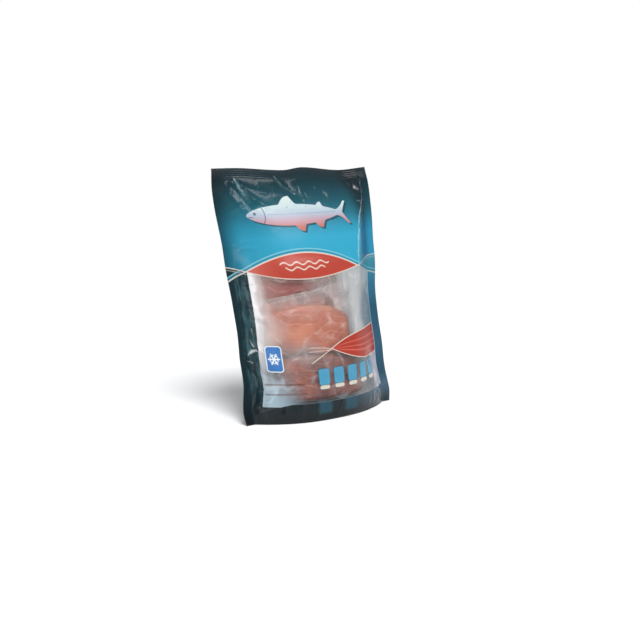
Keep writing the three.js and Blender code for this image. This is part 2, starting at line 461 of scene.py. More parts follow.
# Portions, each in its own clear sachet. Lumps of one seed and opposite signs let two of them fit where
# they touch. Flesh is its deep and light colours, its pale fat, and how much frost lies on it.
PORTIONS = [
    Portion("portion_middle", middle=(-13, 83), half=(43, 20.5), turn_deg=-1, gap=3, thickness=20, arch=8,
            lumps=2.4, seed=3, margin=Margin(turn_deg=8, top=17, foot=0, side=16, lowest=64),
            flesh=("#a54a30", "#c87a5a", "#d8a88e", 0.16)),
    Portion("portion_upper", middle=(-18, 143), half=(48, 24), turn_deg=13, gap=6, thickness=18, arch=4,
            lumps=2.4, seed=5, margin=Margin(turn_deg=12, top=10, foot=3, side=16, lowest=0),
            flesh=("#8c2c2b", "#a64a45", "#b98079", 0.12)),
    Portion("portion_lower", middle=(-3, 39.4), half=(50, 21.5), turn_deg=-1, gap=4, thickness=22, arch=1,
            lumps=-2.4, seed=3, margin=Margin(turn_deg=2, top=-3, foot=4, side=16, lowest=9),
            flesh=("#672c20", "#ac5f47", "#ad7c68", 0.1)),
    Portion("portion_rear", middle=(-8, 106), half=(38, 22), turn_deg=5, gap=27, thickness=14, arch=3,
            lumps=2.4, seed=13, margin=Margin(turn_deg=5, top=6, foot=4, side=0, lowest=0),
            flesh=("#8e4440", "#a86660", "#b98b86", 0.18)),
]
PORTION_CUTS = 22
PORTION_SQUARENESS = 5.5
ARCH_LEVEL = 0.45
THIN_END = 0.25
LUMP_SIZE = 17.0
FACE_LUMPS = 0.33
CONTENT_CLEARANCE = 2.4

# Margins of the sachets: the hole as shares of the portion, where the film rests on it, and its crinkles
MARGIN_GRID = (96, 80)
MARGIN_LIMIT = 67.0
MARGIN_THICKNESS = 0.12
MARGIN_HOLE = (0.82, 0.76)
MARGIN_REST = 0.42
LEAST_REST = 0.15
REST_START = 0.9
REST_RUN = 0.5
CRINKLE_SIZE = 11.0
CRINKLE_RISE = 1.6
FOLD_SIZE = 15.0
FOLD_RISE = 2.4
FOLD_LEVEL = 0.4
SEAL_BAND = 5.0
SEAL_BAND_EDGE = 0.5
SEAL_RIB_PITCH = 1.4

# Flakes of the flesh, with their bends as start, length and swing, and the spans of its tones, of its
# deep colour towards the upper right, and of painted shade at the foot of each portion
FLAKE_PITCH = 8.2
FLAKE_WANDER = 14.0
FLAKE_BENDS = [(-9, 64, 4.2), (0, 27, 1.3)]
LIGHT_TONES = (0.36, 0.62)
FAT_LINES = (0.9, 1.2)
FAT_PATCHES = (0.33, 0.62, 0.2, 1.0)
FAT_RIM = (0.9, 1.15)
DEEP_RIGHT = (4, 46, 0.0, 0.45)
DEEP_ABOVE = (-16, 2)
FOOT_PAINTED_SHADE = (-0.8, 0.3, 0.55, 0.0)
FROST_PATCHES = (0.5, 0.75)

# Stage: pale floor, soft light and the photograph's viewpoint
CAMERA_AT = (-512.6, -785.7, 273.6)
CAMERA_PITCH_DEG = 10.98
CAMERA_TURN_DEG = -33.05
CAMERA_LENS = 56.25
SENSOR_WIDTH = 36.0
FLOOR_WHITE = (0.95, 0.95, 0.95, 1.0)
FLOOR_REACH = 30.0
FLOOR_FADE = (0.25, 0.9)
FAR_FLOOR_LIGHT = 0.3
ROOM_LIGHT = 0.2
ROOM_TINT = (0.95, 0.98, 1.0, 1.0)
PURE_WHITE = (1.0, 1.0, 1.0, 1.0)
KEY_STRENGTH = 2.8
KEY_SPREAD_DEG = 24
KEY_ELEVATION_DEG = 62
KEY_TURN_DEG = -12
LIGHT_AIM = (0, 0, 0.12)
# Soft panels of light: name, power, place, width and height
LIGHT_PANELS = [
    ("left_panel", 1.5, (-0.75, -0.75, 0.42), (0.25, 0.7)),
    ("right_panel", 0.5, (0.95, -0.1, 0.38), (0.5, 0.8)),
    ("rear_panel", 3.0, (0.5, 1.0, 0.75), (0.8, 0.8)),
    ("glint_strip", 1.7, (0.32, -0.66, 0.86), (0.5, 0.12)),
]


# Shape of the film
def smooth_step(low, high, value):
    t = np.clip((value - low) / (high - low), 0, 1)
    return t * t * (3 - 2 * t)


def along(profile, place):
    """Value of a profile at each place, by a smooth curve through its points."""
    x, y = np.array(profile, float).T
    slope = np.empty_like(y)
    slope[1:-1] = (y[2:] - y[:-2]) / (x[2:] - x[:-2])
    slope[0] = (y[1] - y[0]) / (x[1] - x[0])
    slope[-1] = (y[-1] - y[-2]) / (x[-1] - x[-2])
    place = np.clip(place, x[0], x[-1])
    i = np.clip(np.searchsorted(x, place) - 1, 0, len(x) - 2)
    step = x[i + 1] - x[i]
    t = (place - x[i]) / step
    start = (1 + 2 * t) * (1 - t) ** 2 * y[i] + t * (1 - t) ** 2 * step * slope[i]
    end = t * t * (3 - 2 * t) * y[i + 1] + t * t * (t - 1) * step * slope[i + 1]
    return start + end


def soft_min(a, b, softness):
    mix = np.clip(0.5 + 0.5 * (b - a) / softness, 0, 1)
    return b + (a - b) * mix - softness * mix * (1 - mix)


def rounded_side(roundness):
    """Share of the bulge on a plainly rounded side."""
    return lambda t, z: 1 - t ** roundness


def ridged_side(t, z):
    """Share of the bulge on the right of the front, with a ridge that is sharper higher up."""
    ridge = along(RIDGE_PLACE, z)
    softness = RIDGE_SOFT_LOW + (RIDGE_SOFT_HIGH - RIDGE_SOFT_LOW) * smooth_step(*RIDGE_SHARPENS, z)
    face = 1 - FACE_DOME * t * t
    flank = (1 - t) / (1 - ridge) * (1 - FACE_DOME * ridge * ridge)
    ridged = np.maximum(soft_min(face, flank, softness), 0)
    foot = 1 - t ** RIGHT_FOOT_ROUNDNESS
    return foot + (ridged - foot) * smooth_step(*RIDGE_STARTS, z)


def lay_film(u, z, bulge, side):
    """Lays one row of film along a section, so that equal steps of film are equal steps of its length."""
    t = np.linspace(0, 1, SECTION_STEPS + 1)
    x = t * (along(HALF_WIDTH, z) - SIDE_SEAL)
    depth = bulge * side(t, z)
    length = np.concatenate([[0], np.cumsum(np.hypot(np.diff(x), np.diff(depth)))])
    reach = np.minimum(np.abs(u) / PANEL_HALF, 1) * length[-1]
    across = np.interp(reach, length, x) + np.maximum(np.abs(u) - PANEL_HALF, 0)
    return np.sign(u) * across, np.interp(reach, length, depth)


def film_rows(u, z, bulge_profile, left, right):
    """Place across and depth of film points that lie in rows of one height."""
    x = np.empty_like(u)
    depth = np.empty_like(u)
    for height in np.unique(z):
        bulge = along(bulge_profile, height)
        for side, chosen in ((left, (z == height) & (u < 0)), (right, (z == height) & (u >= 0))):
            x[chosen], depth[chosen] = lay_film(u[chosen], height, bulge, side)
    return x, depth


def crease_height(crease, u, z):
    (u0, z0), (u1, z1), reach, rise = crease
    length = math.hypot(u1 - u0, z1 - z0)
    forward = ((u - u0) * (u1 - u0) + (z - z0) * (z1 - z0)) / length
    sideways = ((u - u0) * (z1 - z0) - (z - z0) * (u1 - u0)) / length
    beyond = np.maximum(np.maximum(-forward, forward - length), 0)
    away = np.minimum(np.hypot(sideways, beyond) / reach, 1)
    return rise * (1 - away) ** 2


def swell_height(swell, u, z):
    (u0, z0), (half_u, half_z), rise = swell
    return rise * np.exp(-((u - u0) / half_u) ** 4 - ((z - z0) / half_z) ** 4)


def puckers(seed):
    """Short creases that run in from the seals and the foot, and fan out of the corners."""
    draw = np.random.default_rng(seed)
    creases = []

    def add(start, heading_deg, lengths, spread_deg, reaches, greatest):
        length = draw.uniform(*lengths)
        heading = math.radians(heading_deg + draw.uniform(-spread_deg, spread_deg))
        end = (start[0] + length * math.cos(heading), start[1] + length * math.sin(heading))
        rise = greatest * draw.uniform(PUCKER_LEAST, 1) * draw.choice([-1, 1])
        creases.append((start, end, draw.uniform(*reaches), rise))

    for _ in range(TOP_PUCKERS):
        add((draw.uniform(*TOP_PUCKER_SPAN), TOP_SEAL_START), -90, *SEAL_PUCKER)
    for _ in range(SIDE_PUCKERS):
        side = draw.choice([-1, 1])
        add((side * PANEL_HALF, draw.uniform(*SIDE_PUCKER_SPAN)), 0 if side < 0 else 180, *SEAL_PUCKER)
    for _ in range(FOOT_PUCKERS):
        add((draw.uniform(*FOOT_PUCKER_SPAN), FOOT_PUCKER_START), 90, *SEAL_PUCKER)
    for corner, heading_deg in FAN_CORNERS:
        for _ in range(FAN_PUCKERS):
            start = [place + draw.uniform(-reach, reach) for place, reach in zip(corner, FAN_SCATTER)]
            add(start, heading_deg, *FAN_PUCKER)
    return creases


def crumple(u, z, seed):
    """Shallow facets of handled film, deeper towards the seals."""
    facet = np.empty_like(u)
    for i, (across, up) in enumerate(zip(u / CRUMPLE_CELL + seed, z / CRUMPLE_CELL * CRUMPLE_STRETCH)):
        near, _ = noise.voronoi((across, up, seed * CRUMPLE_SLICE))
        facet[i] = near[1] - near[0]
    border = np.minimum(1, np.maximum(np.abs(u) / PANEL_HALF, np.abs(z / POUCH_HEIGHT * 2 - 1))) ** 3
    share = CRUMPLE_MIDDLE_SHARE + (1 - CRUMPLE_MIDDLE_SHARE) * border
    return CRUMPLE_RISE * share * (facet - CRUMPLE_LEVEL)


def relief(u, z, creases, swells, seed, fine):
    """Height of the film's relief, which dies out at the seals."""
    height = sum(swell_height(swell, u, z) for swell in swells)
    if fine:
        creases = creases + puckers(seed)
        height = height + crumple(u, z, seed)
    height = height + sum(crease_height(crease, u, z) for crease in creases)
    side_fade = 1 - smooth_step(*SIDE_FADE, np.abs(u))
    return height * side_fade * smooth_step(*FOOT_FADE, z) * (1 - smooth_step(*TOP_FADE, z))


def seal_sway(u, z):
    """Slow waves of the side seals, which both films share."""
    start = np.where(u < 0, *SWAY_STARTS)
    long_wave, short_wave = SWAY_LENGTHS
    wave = SWAY * np.sin(z / long_wave + start) + SWAY / 2 * np.sin(z / short_wave + 2 * start)
    grown = smooth_step(*SWAY_REACH, np.abs(u)) * smooth_step(*SWAY_FOOT, z)
    return wave * grown * (1 - smooth_step(*SWAY_TOP, z))


def seam_depth(u, z):
    return LEAN_SLOPE * z + along(TOP_EDGE_CURL, u) * smooth_step(*CURL_SPAN, z) + seal_sway(u, z)


def place_height(u, z, lifts):
    drop = along(TOP_EDGE_DROP, u) * smooth_step(*DROP_SPAN, z)
    lift = along(BASE_LIFT, u) * (1 - smooth_step(*LIFT_SPAN, z)) * lifts
    return z - drop + lift


def front_points(u, z, fine=True):
    x, depth = film_rows(u, z, FRONT_BULGE, rounded_side(SIDE_ROUNDNESS), ridged_side)
    depth = np.maximum(depth + relief(u, z, FRONT_CREASES, FRONT_SWELLS, PUCKER_SEED, fine), 0)
    return np.column_stack([x, seam_depth(u, z) - depth - SEAM_HALF_GAP, place_height(u, z, True)])


def back_points(u, z, fine=True):
    side = rounded_side(BACK_ROUNDNESS)
    x, depth = film_rows(u, z, BACK_BULGE, side, side)
    depth = np.maximum(depth + relief(u, z, BACK_CREASES, BACK_SWELLS, PUCKER_SEED + 1, fine), 0)
    return np.column_stack([x, seam_depth(u, z) + depth + SEAM_HALF_GAP, place_height(u, z, False)])


def film_places(columns, rows):
    """Film points of an even grid, row by row from the foot."""
    u, z = np.meshgrid(np.linspace(-EDGE, EDGE, columns + 1), np.linspace(0, POUCH_HEIGHT, rows + 1))
    return u.ravel(), z.ravel()


def foot_place():
    """The foot line's middle in the part's own frame, from the middle of the solid the film stands for."""
    low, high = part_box("pouch")
    u, z = film_places(*ROUGH_GRID)
    front = front_points(u, z, fine=False)[:, 1].min()
    back = back_points(u, z, fine=False)[:, 1].max()
    return np.array([0.0, (low.y + high.y) / 2 / MM - (front + back) / 2, FOOT_LIFT])


def film_table(points):
    """Places of a panel without its fine relief, on a grid that other places are read from."""
    columns, rows = TABLE_GRID
    return points(*film_places(columns, rows), fine=False).reshape(rows + 1, columns + 1, 3)


FOOT = foot_place()
FRONT_TABLE = film_table(front_points)
BACK_TABLE = film_table(back_points)


def read_table(table, u, z):
    """Places between a table's points."""
    columns, rows = TABLE_GRID
    across = np.clip((u + EDGE) / FILM_WIDTH, 0, 1) * columns
    up = np.clip(z / POUCH_HEIGHT, 0, 1) * rows
    i = np.minimum(across.astype(int), columns - 1)
    j = np.minimum(up.astype(int), rows - 1)
    s = (across - i)[:, None]
    t = (up - j)[:, None]
    low = table[j, i] * (1 - s) + table[j, i + 1] * s
    high = table[j + 1, i] * (1 - s) + table[j + 1, i + 1] * s
    return low * (1 - t) + high * t


def behind_front(u, z, depth):
    """Points at a depth behind the front film, kept clear of both films."""
    points = read_table(FRONT_TABLE, u, z)
    room = read_table(BACK_TABLE, u, z)[:, 1] - points[:, 1]
    nearest = np.minimum(CONTENT_CLEARANCE, room / 2)
    points[:, 1] += np.clip(depth, nearest, room - nearest)
    return points


# Meshes and pieces
def to_mesh(name, bm):
    mesh = bpy.data.meshes.new(name)
    bm.to_mesh(mesh)
    bm.free()
    return mesh


def grid_mesh(name, columns, rows, reach=0.5):
    """A flat grid that reaches as far each way from its middle."""
    bm = bmesh.new()
    bmesh.ops.create_grid(bm, x_segments=columns, y_segments=rows, size=reach)
    return to_mesh(name, bm)


def vertex_places(mesh):
    places = np.empty(len(mesh.vertices) * 3, np.float32)
    mesh.vertices.foreach_get("co", places)
    return places.reshape(-1, 3).astype(float)


def set_places(mesh, points):
    mesh.vertices.foreach_set("co", ((points + FOOT) * MM).astype(np.float32).ravel())
    mesh.update()


def set_film_map(mesh, u, z):
    """The film map holds each point's own flat place across and up, in millimetres."""
    corners = np.empty(len(mesh.loops), np.int32)
    mesh.loops.foreach_get("vertex_index", corners)
    film_map = mesh.uv_layers.new(name="film")
    film_map.data.foreach_set("uv", np.column_stack([u, z])[corners].astype(np.float32).ravel())


def set_value(mesh, name, values):
    """A number of each point's own, which a material can read by its name."""
    mesh.attributes.new(name, "FLOAT", "POINT").data.foreach_set("value", values.astype(np.float32))


def add_object(name, data):
    thing = bpy.data.objects.new(name, data)
    bpy.context.scene.collection.objects.link(thing)
    return thing


def add_piece(name, mesh, materials):
    """A piece of the pack, which rides on its body and stands for the pouch's solid."""
    piece = add_object(name, mesh)
    for material in materials:
        mesh.materials.append(material)
    mesh.shade_smooth()
    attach(piece, BODY)
    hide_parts("pouch")
    return piece


def thicken(piece, thickness, lining_slot):
    """Gives a sheet its thickness, inwards, with its inner face in a material of its own."""
    wall = piece.modifiers.new("wall", "SOLIDIFY")
    wall.thickness = thickness * MM
    wall.offset = -1
    wall.use_even_offset = False
    wall.material_offset = lining_slot
    wall.material_offset_rim = 0


# Shader arithmetic
def sum_method(operation, swapped=False):
    def work_out(field, other):
        return calculate(operation, other, field) if swapped else calculate(operation, field, other)
    return work_out


class Field:
    """A number that varies over a surface. Sums with it become nodes of its material."""

    def __init__(self, socket):
        self.socket = socket
        self.tree = socket.id_data

    __add__ = sum_method("ADD")
    __radd__ = sum_method("ADD", swapped=True)
    __sub__ = sum_method("SUBTRACT")
    __rsub__ = sum_method("SUBTRACT", swapped=True)
    __mul__ = sum_method("MULTIPLY")
    __rmul__ = sum_method("MULTIPLY", swapped=True)
    __truediv__ = sum_method("DIVIDE")

    def __neg__(self):
        return self * -1.0

    def __abs__(self):
        return calculate("ABSOLUTE", self)


def srgb(code):
    """Linear colour of a six-digit display colour."""
    shares = [int(code[i:i + 2], 16) / 255 for i in (1, 3, 5)]
    linear = [s / 12.92 if s <= 0.04045 else ((s + 0.055) / 1.055) ** 2.4 for s in shares]
    return (*linear, 1.0)


def feed(socket, value):
    """Links a field or an output to a socket, or sets a value or a display colour on it."""
    if isinstance(value, Field):
        value = value.socket
    if isinstance(value, bpy.types.NodeSocket):
        socket.id_data.links.new(value, socket)
    else:
        socket.default_value = srgb(value) if isinstance(value, str) else value


def set_inputs(node, values):
    """Feeds a node's inputs, each given by its name or number."""
    for key, value in values.items():
        feed(node.inputs[key], value)


def add_node(tree, kind, inputs=None, **settings):
    node = tree.nodes.new("ShaderNode" + kind)
    for name, value in settings.items():
        setattr(node, name, value)
    set_inputs(node, inputs or {})
    return node


def calculate(operation, *values):
    tree = next(value.tree for value in values if isinstance(value, Field))
    return Field(add_node(tree, "Math", dict(enumerate(values)), operation=operation).outputs[0])


def smaller(*values):
    return reduce(lambda a, b: calculate("MINIMUM", a, b), values)


def larger(*values):
    return reduce(lambda a, b: calculate("MAXIMUM", a, b), values)


def distance(a, b):
    return calculate("SQRT", a * a + b * b)


def ramp(value, low, high, start=0.0, end=1.0):
    """Goes smoothly from start at low to end at high."""
    inputs = {"Value": value, "From Min": low, "From Max": high, "To Min": start, "To Max": end}
    node = add_node(value.tree, "MapRange", inputs, interpolation_type="SMOOTHSTEP")
    return Field(node.outputs["Result"])


def fade(value, low, high, start=1.0):
    return ramp(value, low, high, start, 0.0)


def soft_field(places, spans):
    """Product of ramps, each over a named place."""
    ramps = [ramp(places[name], *span) for name, *span in spans]
    return reduce(lambda a, b: a * b, ramps)


def inside(edge_distance):
    """1 where the distance to an edge is negative, 0 where it is positive."""
    return fade(edge_distance, -PRINT_EDGE, PRINT_EDGE)


def outside(edge_distance):
    return ramp(edge_distance, -PRINT_EDGE, PRINT_EDGE)


def stroke(edge_distance, width):
    return inside(abs(edge_distance) - width / 2)


def segment_place(u, z, start, end):
    """Distance from a straight line between two points, and the share of the way along it."""
    run, climb = end[0] - start[0], end[1] - start[1]
    across = u - start[0]
    up = z - start[1]
    share = (across * run + up * climb) / (run * run + climb * climb)
    share = smaller(larger(share, 0.0), 1.0)
    return distance(across - share * run, up - share * climb), share


def rounded_box(u, z, middle, half, corner):
    """Distance outside a box with round corners."""
    across = larger(abs(u - middle[0]) - (half[0] - corner), 0.0)
    up = larger(abs(z - middle[1]) - (half[1] - corner), 0.0)
    return distance(across, up) - corner


def levelling(run, length):
    """Rises from 0 to 1 along a run, and levels off at its length."""
    left = 1.0 - smaller(larger(run / length, 0.0), 1.0)
    return 1.0 - left * left


def paint(under, over, mask):
    """Lays a colour over another where the mask is 1."""
    inputs = {"Factor": mask, "A": under, "B": over}
    return add_node(mask.tree, "Mix", inputs, data_type="RGBA").outputs["Result"]


def colour_ramp(value, stops):
    """Colours at rising values, blended in between."""
    low, high = stops[0][0], stops[-1][0]
    node = add_node(value.tree, "ValToRGB", {"Fac": (value - low) / (high - low)})
    elements = node.color_ramp.elements
    while len(elements) < len(stops):
        elements.new(0.5)
    for element, (place, code) in zip(elements, stops):
        element.position = (place - low) / (high - low)
        element.color = srgb(code)
    return node.outputs["Color"]


def layered(stops, layers, places):
    """A ground of colours up the film, with soft layers over it."""
    colour = colour_ramp(places["z"], stops)
    for ink, spans in layers:
        over = colour_ramp(places["z"], ink) if isinstance(ink, list) else ink
        colour = paint(colour, over, soft_field(places, spans))
    return colour


def speckle(vector, scale, detail=2.0, roughness=0.5, stretch=None):
    """Noise from 0 to 1 over a coordinate, finer with a larger scale."""
    tree = vector.id_data
    if stretch:
        vector = add_node(tree, "Mapping", {"Vector": vector, "Scale": stretch}).outputs["Vector"]
    inputs = {"Vector": vector, "Scale": scale, "Detail": detail, "Roughness": roughness}
    return Field(add_node(tree, "TexNoise", inputs).outputs["Fac"])


def crinkles(vector, scale):
    """Sharp wandering ridges, 1 on the ridge and less beside it."""
    return 1.0 - abs(speckle(vector, scale, 2.0, 0.45) * 2.0 - 1.0)


def read_value(tree, name):
    return Field(add_node(tree, "Attribute", attribute_name=name).outputs["Fac"])


def bump(height, strength, depth):
    inputs = {"Strength": strength, "Distance": depth * MM, "Height": height}
    return add_node(height.tree, "Bump", inputs).outputs["Normal"]


def mix_shaders(share, first, second):
    return add_node(first.id_data, "MixShader", {0: share, 1: first, 2: second}).outputs["Shader"]


def show(shader):
    feed(shader.id_data.nodes["Material Output"].inputs["Surface"], shader)


def new_material(name):
    material = bpy.data.materials.new(name)
    material.use_nodes = True
    return material, material.node_tree.nodes["Principled BSDF"]


def film_material(name):
    """A new material, its main shader, and the film map as a vector and as its two numbers."""
    material, surface = new_material(name)
    film_map = add_node(surface.id_data, "UVMap", uv_map="film").outputs["UV"]
    parts = add_node(surface.id_data, "SeparateXYZ", {"Vector": film_map})
    return material, surface, film_map, Field(parts.outputs["X"]), Field(parts.outputs["Y"])


# Print
class Print:
    """Ink on film: the colour laid so far, and how much of the film it covers."""

    def __init__(self, colour, cover=None):
        self.colour = colour
        self.cover = cover

    def lay(self, colour, mask, cover=None):
        self.colour = paint(self.colour, colour, mask)
        if cover is not None:
            self.cover = larger(self.cover, cover)


def lens_curves(u):
    """The two curves that cross at the banner's tips, and run on across the film."""
    share = abs(u - LENS_MIDDLE[0]) / LENS_HALF
    within = smaller(share, 1.0)
    blend = (LENS_MIDDLE[0] - RUN_ON_BLEND, LENS_MIDDLE[0] + RUN_ON_BLEND)
    slope = ramp(u, *blend, LEFT_RUN_ON, RIGHT_RUN_ON)
    bow = 1.0 - within * within - larger(share - 1.0, 0.0) * slope
    return bow * LENS_RISE + LENS_MIDDLE[1], bow * -LENS_DROP + LENS_MIDDLE[1]


def curve_lines(z, upper, lower):
    """Lines along the two curves with a fine one below, another line above, and the gap under that."""
    fine = stroke(z - lower + SECOND_BELOW, FINE_LINE_WIDTH) * FINE_LINE_STRENGTH
    lines = larger(stroke(z - upper, LINE_WIDTH), stroke(z - lower, LOWER_LINE_WIDTH), fine)
    second = stroke(z - upper - SECOND_ABOVE, SECOND_WIDTH)
    gap = stroke(z - upper - SECOND_ABOVE / 2, SECOND_ABOVE)
    return lines, second, gap


def window_edge(u, z):
    """Distance outside the clear window, below the banner."""
    foot = WINDOW_FOOT - fade(u, *DROOP_SPAN, WINDOW_DROOP)
    return larger(z - smaller(*lens_curves(u)), u - WINDOW_RIGHT, WINDOW_LEFT - u, foot - z)


def wave_lines(u, z):
    """Short rows of water waves in the banner's middle."""
    lines = 0.0
    for i in range(WAVE_ROWS):
        crest = calculate("SINE", u * (FULL_TURN / WAVE_LENGTH)) * WAVE_RISE + (WAVE_HEIGHT - i * WAVE_GAP)
        reach = inside(abs(u - LENS_MIDDLE[0]) - (WAVE_REACH - i * WAVE_STEP_IN))
        lines = larger(stroke(z - crest, LINE_WIDTH) * reach, lines)
    return lines


def fin(run, rise, start, tip, end):
    """Distance outside a fin with a bowed front, a round tip and a hollow back, given by its corners."""
    front = levelling(run - start[0], tip[0] - start[0]) * (tip[1] - start[1]) + start[1]
    back = levelling(run - tip[0], end[0] - tip[0]) * (end[1] - tip[1]) + tip[1]
    edge = calculate("SMOOTH_MAX", rise - front, rise - back, FIN_ROUNDING)
    return larger(edge, FIN_ROOT - rise, start[0] - run, run - end[0])


def fish_shape(run, rise):
    """Distance outside a plain fish: a slender body, a forked tail and four fins."""
    share = larger(run / FISH_LENGTH, 0.001)
    left = larger(1.0 - share, 0.001)
    swell = calculate("POWER", share, FRONT_FULLNESS) * calculate("POWER", left, REAR_FULLNESS)
    half = swell * FISH_DEPTH + share * FISH_STEM
    shape = larger(abs(rise) - half, run - FISH_LENGTH, -run)
    out = run - (FISH_LENGTH - TAIL_OVERLAP)
    flare = FISH_STEM + out * TAIL_FLARE[0] + out * out * TAIL_FLARE[1]
    fork = out - (abs(rise) * TAIL_FORK[1] + rise * rise * TAIL_FORK[2] + TAIL_FORK[0])
    tail = calculate("SMOOTH_MAX", abs(rise) - flare, fork, TAIL_ROUNDING)
    tail = calculate("SMOOTH_MAX", tail, abs(rise) - TAIL_HALF, TAIL_ROUNDING)
    shape = calculate("SMOOTH_MIN", shape, larger(tail, -out), TAIL_FILLET)
    for side, *corners in FINS:
        shape = calculate("SMOOTH_MIN", shape, fin(run, rise * side, *corners), FIN_FILLET)
    return shape


def fish_lines(vector, run, rise):
    """Gill, eye, mouth, side line and back spots of the fish."""
    gill = stroke(distance(run - GILL_START, rise) - GILL_RADIUS, 1.0)
    gill = gill * inside(GILL_START - run) * inside(abs(rise) - GILL_REACH)
    eye = inside(distance(run - EYE[0], rise - EYE[1]) - EYE_RADIUS)
    mouth = stroke(rise + MOUTH_DROP, 0.7) * inside(run - MOUTH_LENGTH)
    side = stroke(rise - SIDE_LINE_RISE, 0.6) * inside(SIDE_LINE_START - run) * inside(run - FISH_LENGTH)
    cells = add_node(vector.id_data, "TexVoronoi", {"Scale": SPOT_SCALE, "Vector": vector})
    spots = fade(Field(cells.outputs["Distance"]), *SPOT_SIZE)
    spots = spots * inside(SPOTS_FROM[0] - run) * inside(SPOTS_FROM[1] - rise)
    return larger(gill, eye, mouth, side * 0.4, spots * 0.5)


def lay_fish(ink, vector, u, z):
    """A plain fish, pale above and pink below, over its shadow."""
    run = u - FISH_NOSE[0]
    rise = z - FISH_NOSE[1]
    shadow = inside(fish_shape(run - FISH_SHADOW[0], rise - FISH_SHADOW[1]))
    fish = inside(fish_shape(run, rise))
    ink.lay(FISH_DARK, shadow * 0.8)
    ink.lay(colour_ramp(z, FISH_STOPS), fish)
    ink.lay(FISH_DARK, fish_lines(vector, run, rise) * fish * 0.75)


def snowflake(across, up, radius, width):
    """Distance outside a plain six-armed ice crystal."""
    angle = calculate("PINGPONG", calculate("ARCTAN2", up, across) + math.pi, math.pi / 6)
    reach = distance(across, up)
    out = reach * calculate("COSINE", angle)
    aside = reach * calculate("SINE", angle)
    arm = larger(aside - width / 2, out - radius)
    slant = (out - radius * TWIG_PLACE) * math.sin(math.pi / 3) - aside * math.cos(math.pi / 3)
    twig = larger(abs(slant) - width * TWIG_HALF_WIDTH, aside - radius * TWIG_REACH)
    return smaller(arm, twig)


def lay_badge(ink, u, z):
    """A blue badge with a white rim and an ice crystal."""
    badge = rounded_box(u, z, BADGE_MIDDLE, BADGE_HALF, BADGE_CORNER)
    rim = inside(badge - BADGE_RIM)
    crystal = snowflake(u - BADGE_MIDDLE[0], z - BADGE_MIDDLE[1], *BADGE_CRYSTAL)
    ink.lay(WHITE_PRINT, rim, cover=rim)
    ink.lay(BADGE_BLUE, inside(badge))
    ink.lay(WHITE_PRINT, inside(crystal))


def lay_tabs(ink, u, z):
    """A row of blank tabs with a blank pill under each."""
    for i in range(TAB_COUNT):
        middle = TAB_START + i * TAB_PITCH
        tab = rounded_box(u, z, (middle, TAB_HEIGHT), TAB_HALF, TAB_CORNER)
        outline = inside(tab - TAB_RIM)
        pill = inside(rounded_box(u, z, (middle, PILL_HEIGHT), PILL_HALF, PILL_CORNER))
        ink.lay(TAB_OUTLINE, outline, cover=outline * TAB_COVER)
        ink.lay(TAB_BLUE, inside(tab))
        ink.lay(PILL_CREAM, pill, cover=pill * TAB_COVER)


def lay_ribbon(ink, u, z, in_window):
    """The red flash at the right of the window, with light streaks in it and cream lines along it."""
    run = u - RIBBON_TIP[0]
    top = levelling(run, RIBBON_RISE_RUN) * RIBBON_RISE + RIBBON_TIP[1]
    foot = levelling(run, RIBBON_DROP_RUN) * -RIBBON_DROP + RIBBON_TIP[1]
    field = inside(larger(z - top, foot - z, -run)) * in_window
    share = (z - foot) / larger(top - foot, 0.1)
    streaks = larger(*(fade(abs(share - place), half * 0.4, half * 1.6) for place, half in RIBBON_STREAKS))
    ink.lay(paint(RIBBON_RED, RIBBON_LIGHT, streaks * 0.6), field, cover=field)

    behind = smaller(run, 0.0)
    tail = inside(run) * ramp(run, -RIBBON_TAIL * 1.2, -RIBBON_TAIL * 0.8)
    upper_tail = behind * behind * UPPER_TAIL[1] + behind * UPPER_TAIL[0] + RIBBON_TIP[1]
    paths = [
        (top + behind * TAIL_SLOPE, ramp(run, -RIBBON_TAIL, -RIBBON_TAIL * 0.8)),
        (foot, inside(-run)),
        (upper_tail, tail),
        (RIBBON_TIP[1] - LOWER_TAIL_DROP, tail),
    ]
    strokes = [stroke(z - path, width) * reach for (path, reach), width in zip(paths, RIBBON_LINE_WIDTHS)]
    lines = larger(*strokes) * in_window
    ink.lay(CREAM, lines, cover=lines * 0.8)


def lay_rules(ink, u, z):
    for (left, height), length in RULES:
        middle = (left + length / 2, height)
        rule = inside(rounded_box(u, z, middle, (length / 2, RULE_HALF), RULE_CORNER))
        ink.lay(RULE_DARK, rule, cover=rule * RULE_COVER)


def lay_painted_crease_highlights(ink, vector, u, z):
    """Painted highlights along creases: pale patchy lines that wander a little, each with a width and a
    strength at its two ends.
    """
    patchy = ramp(speckle(vector, 0.3, 3.0), 0.2, 0.62)
    aside = (speckle(vector, 0.14) - 0.5) * HIGHLIGHT_WANDER
    for colour, lines in PAINTED_CREASE_HIGHLIGHTS.items():
        highlight = 0.0
        for start, end, widths, strengths in lines:
            away, share = segment_place(u + aside, z - aside, start, end)
            width = share * (widths[1] - widths[0]) + widths[0]
            strength = share * (strengths[1] - strengths[0]) + strengths[0]
            highlight = larger(fade(away / width, 0.1, 1.0) * strength * patchy, highlight)
        ink.lay(colour, highlight)


